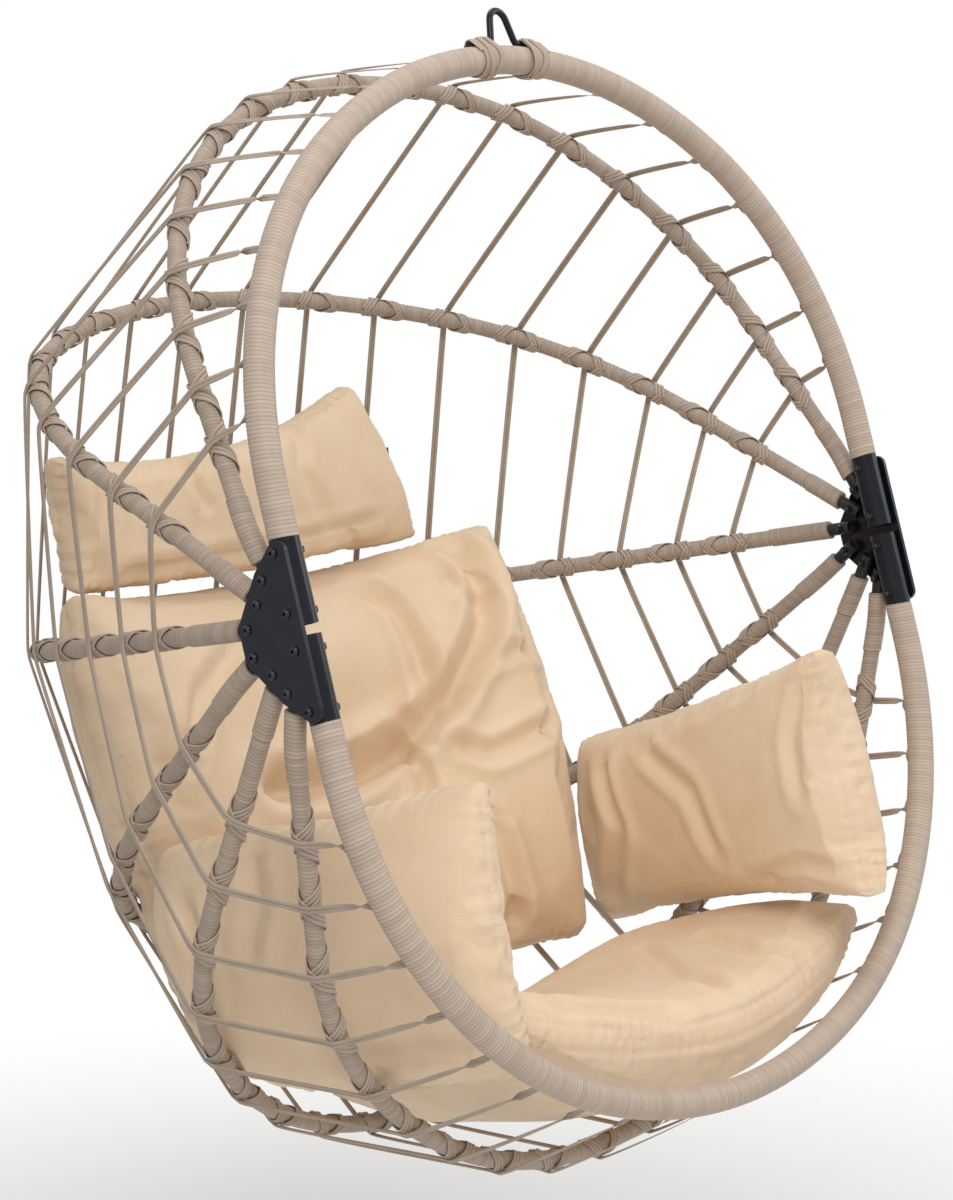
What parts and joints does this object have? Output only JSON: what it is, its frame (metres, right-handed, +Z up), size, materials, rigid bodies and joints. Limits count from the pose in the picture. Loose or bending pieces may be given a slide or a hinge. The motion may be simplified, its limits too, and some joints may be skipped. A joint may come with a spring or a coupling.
{
  "type": "hanging egg chair",
  "caption": "Open oval basket seat that hangs from one loop: a two-part front ring, two bolted side hubs, fanned ribs laced with cord, and loose cushions",
  "frame": {"origin": "inside top of the hanging loop, where the hook bears", "axes": "+X to the sitter's left hand, +Z up, front towards -Y, millimetres in the source"},
  "size_m": [1.0772, 0.9901, 1.3464],
  "materials": {
    "wound_rattan": "flat resin cord, closely wound",
    "lacing_cord": "twin round resin cord",
    "frame_tube": "black powder coat",
    "hub_coat": "satin black powder coat",
    "loop_steel": "satin black powder coat",
    "black_hardware": "black zinc",
    "cushion_cloth": "cream polyester cover"
  },
  "bodies": {
    "basket": {"upper_ring_tube": "frame_tube", "lower_ring_tube": "frame_tube", "upper_ring_wrap": "wound_rattan", "lower_ring_wrap": "wound_rattan", "rib_1_tube": "frame_tube", "rib_2_tube": "frame_tube", "rib_3_tube": "frame_tube", "rib_4_tube": "frame_tube", "rib_5_tube": "frame_tube", "rib_6_tube": "frame_tube", "rib_1_wrap": "wound_rattan", "rib_2_wrap": "wound_rattan", "rib_3_wrap": "wound_rattan", "rib_4_wrap": "wound_rattan", "rib_5_wrap": "wound_rattan", "rib_6_wrap": "wound_rattan", "left_hub": "hub_coat", "right_hub": "hub_coat", "left_ring_bolts": "black_hardware", "right_ring_bolts": "black_hardware", "left_ring_nuts": "black_hardware", "right_ring_nuts": "black_hardware", "left_rib_bolts": "black_hardware", "right_rib_bolts": "black_hardware", "left_rib_nuts": "black_hardware", "right_rib_nuts": "black_hardware", "hanging_loop": "loop_steel", "loop_foot_wraps": "wound_rattan", "lacing_01": "lacing_cord", "lacing_02": "lacing_cord", "lacing_03": "lacing_cord", "lacing_04": "lacing_cord", "lacing_05": "lacing_cord", "lacing_06": "lacing_cord", "lacing_07": "lacing_cord", "lacing_08": "lacing_cord", "lacing_09": "lacing_cord", "lacing_10": "lacing_cord", "lacing_11": "lacing_cord", "lacing_12": "lacing_cord", "lacing_13": "lacing_cord", "lacing_14": "lacing_cord", "lacing_15": "lacing_cord", "lacing_16": "lacing_cord", "lacing_17": "lacing_cord", "lacing_18": "lacing_cord", "lacing_19": "lacing_cord"},
    "seat": {"seat_cushion": "cushion_cloth"},
    "backrest": {"back_cushion": "cushion_cloth"},
    "headrest": {"head_pillow": "cushion_cloth"},
    "left_armrest": {"left_arm_pillow": "cushion_cloth"},
    "right_armrest": {"right_arm_pillow": "cushion_cloth"}
  },
  "joints": [
    {"name": "seat_lift_out", "type": "slide", "parent": "basket", "child": "seat", "axis": [0, -0.8059, 0.592], "range_m": [0, 0.8]},
    {"name": "back_lift_out", "type": "slide", "parent": "seat", "child": "backrest", "axis": [0, -0.8358, 0.549], "range_m": [0, 0.9]},
    {"name": "head_lift_out", "type": "slide", "parent": "backrest", "child": "headrest", "axis": [0.0698, -0.8241, 0.5621], "range_m": [0, 0.8]},
    {"name": "left_arm_lift_out", "type": "slide", "parent": "backrest", "child": "left_armrest", "axis": [0.0872, -0.7007, 0.7081], "range_m": [0, 0.8]},
    {"name": "right_arm_lift_out", "type": "slide", "parent": "backrest", "child": "right_armrest", "axis": [-0.1392, -0.6966, 0.7039], "range_m": [0, 0.8]}
  ]
}
